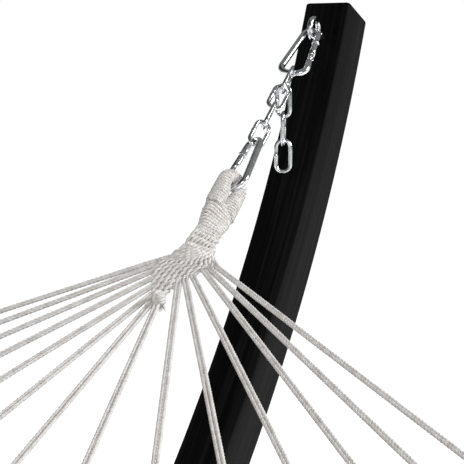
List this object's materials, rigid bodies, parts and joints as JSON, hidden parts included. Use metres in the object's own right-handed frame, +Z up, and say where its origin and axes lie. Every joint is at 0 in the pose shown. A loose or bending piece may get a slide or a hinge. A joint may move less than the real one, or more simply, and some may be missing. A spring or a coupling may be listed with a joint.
{
  "type": "hammock on stand",
  "caption": "Spreader-bar hammock on a curved wooden stand, hung by chain and snap hooks from eye bolts in the arms' ends.",
  "frame": {"origin": "on the floor, under the middle of the stand", "axes": "+X along the hammock towards the end whose node names end in _a, +Y across it, +Z up"},
  "size_m": [3.3028, 1.2, 1.1245],
  "materials": {
    "black_wood": "black-stained laminated wood, satin",
    "rubber": "matt",
    "bare_wood": "clear-oiled hardwood",
    "canvas": "undyed cotton canvas",
    "cord": "undyed twisted and braided cotton cord",
    "zinc": "bright zinc plating"
  },
  "bodies": {
    "stand": {"arm_a": "black_wood", "arm_b": "black_wood", "side_beam_left": "black_wood", "side_beam_right": "black_wood", "foot_a": "black_wood", "foot_b": "black_wood", "foot_pads": "rubber", "beam_bolts": "zinc", "beam_washers": "zinc", "beam_nuts": "zinc", "foot_screws": "zinc", "foot_washers": "zinc", "eye_a": "zinc", "eye_b": "zinc", "eye_washers": "zinc", "eye_nuts": "zinc"},
    "hammock": {"upper_snap_a": "zinc", "upper_snap_b": "zinc", "lower_snap_a": "zinc", "lower_snap_b": "zinc", "snap_pins": "zinc", "chain_a1": "zinc", "chain_a2": "zinc", "chain_a3": "zinc", "chain_a4": "zinc", "chain_b1": "zinc", "chain_b2": "zinc", "chain_b3": "zinc", "chain_b4": "zinc", "loop_a": "cord", "loop_b": "cord", "clew_a": "cord", "clew_b": "cord", "knot_a": "cord", "knot_b": "cord", "harness_a": "cord", "harness_b": "cord", "bar_a": "bare_wood", "bar_b": "bare_wood", "bed": "canvas", "side_hems": "canvas", "end_hem_a": "canvas", "end_hem_b": "canvas", "eyelets_a": "zinc", "eyelets_b": "zinc", "bed_loops_a": "cord", "bed_loops_b": "cord"},
    "upper_gate_a": {"upper_gate_a": "zinc"},
    "upper_gate_b": {"upper_gate_b": "zinc"},
    "lower_gate_a": {"lower_gate_a": "zinc"},
    "lower_gate_b": {"lower_gate_b": "zinc"},
    "tail_a1": {"tail_a1": "zinc"},
    "tail_a2": {"tail_a2": "zinc"},
    "tail_a3": {"tail_a3": "zinc"},
    "tail_b1": {"tail_b1": "zinc"},
    "tail_b2": {"tail_b2": "zinc"},
    "tail_b3": {"tail_b3": "zinc"}
  },
  "joints": [
    {"name": "hammock_swing", "type": "hinge", "parent": "stand", "child": "hammock", "pos_m": [0, 0, 1.08167], "axis": [1, 0, 0], "range_deg": [-15, 15]},
    {"name": "upper_gate_a_open", "type": "hinge", "parent": "hammock", "child": "upper_gate_a", "pos_m": [1.516, -0.01395, 1.05292], "axis": [-0.6365, -0.1392, 0.7586], "range_deg": [0, 24], "stiffness_Nm_per_rad": 0.04, "springref_deg": -14.32},
    {"name": "upper_gate_b_open", "type": "hinge", "parent": "hammock", "child": "upper_gate_b", "pos_m": [-1.516, -0.01395, 1.05292], "axis": [-0.6365, 0.1392, -0.7586], "range_deg": [0, 24], "stiffness_Nm_per_rad": 0.04, "springref_deg": -14.32},
    {"name": "lower_gate_a_open", "type": "hinge", "parent": "hammock", "child": "lower_gate_a", "pos_m": [1.36279, 0.0134, 0.92124], "axis": [0.6113, -0.309, -0.7286], "range_deg": [0, 24], "stiffness_Nm_per_rad": 0.04, "springref_deg": -14.32},
    {"name": "lower_gate_b_open", "type": "hinge", "parent": "hammock", "child": "lower_gate_b", "pos_m": [-1.36279, 0.0134, 0.92124], "axis": [0.6113, 0.309, 0.7286], "range_deg": [0, 24], "stiffness_Nm_per_rad": 0.04, "springref_deg": -14.32},
    {"name": "tail_a1_sway", "type": "hinge", "parent": "hammock", "child": "tail_a1", "pos_m": [1.48168, 0.00373, 1.01671], "axis": [1, 0, 0], "range_deg": [-25, 25]},
    {"name": "tail_a2_swing", "type": "hinge", "parent": "tail_a1", "child": "tail_a2", "pos_m": [1.47824, 0.00358, 0.98281], "axis": [0, 1, 0], "range_deg": [0, 20]},
    {"name": "tail_a3_sway", "type": "hinge", "parent": "tail_a2", "child": "tail_a3", "pos_m": [1.47824, 0.00358, 0.95011], "axis": [0.9397, 0.342, 0], "range_deg": [-25, 25]},
    {"name": "tail_b1_sway", "type": "hinge", "parent": "hammock", "child": "tail_b1", "pos_m": [-1.48168, 0.00373, 1.01671], "axis": [1, 0, 0], "range_deg": [-25, 25]},
    {"name": "tail_b2_swing", "type": "hinge", "parent": "tail_b1", "child": "tail_b2", "pos_m": [-1.47824, 0.00358, 0.98281], "axis": [0, -1, 0], "range_deg": [0, 20]},
    {"name": "tail_b3_sway", "type": "hinge", "parent": "tail_b2", "child": "tail_b3", "pos_m": [-1.47824, 0.00358, 0.95011], "axis": [0.9397, -0.342, 0], "range_deg": [-25, 25]}
  ]
}
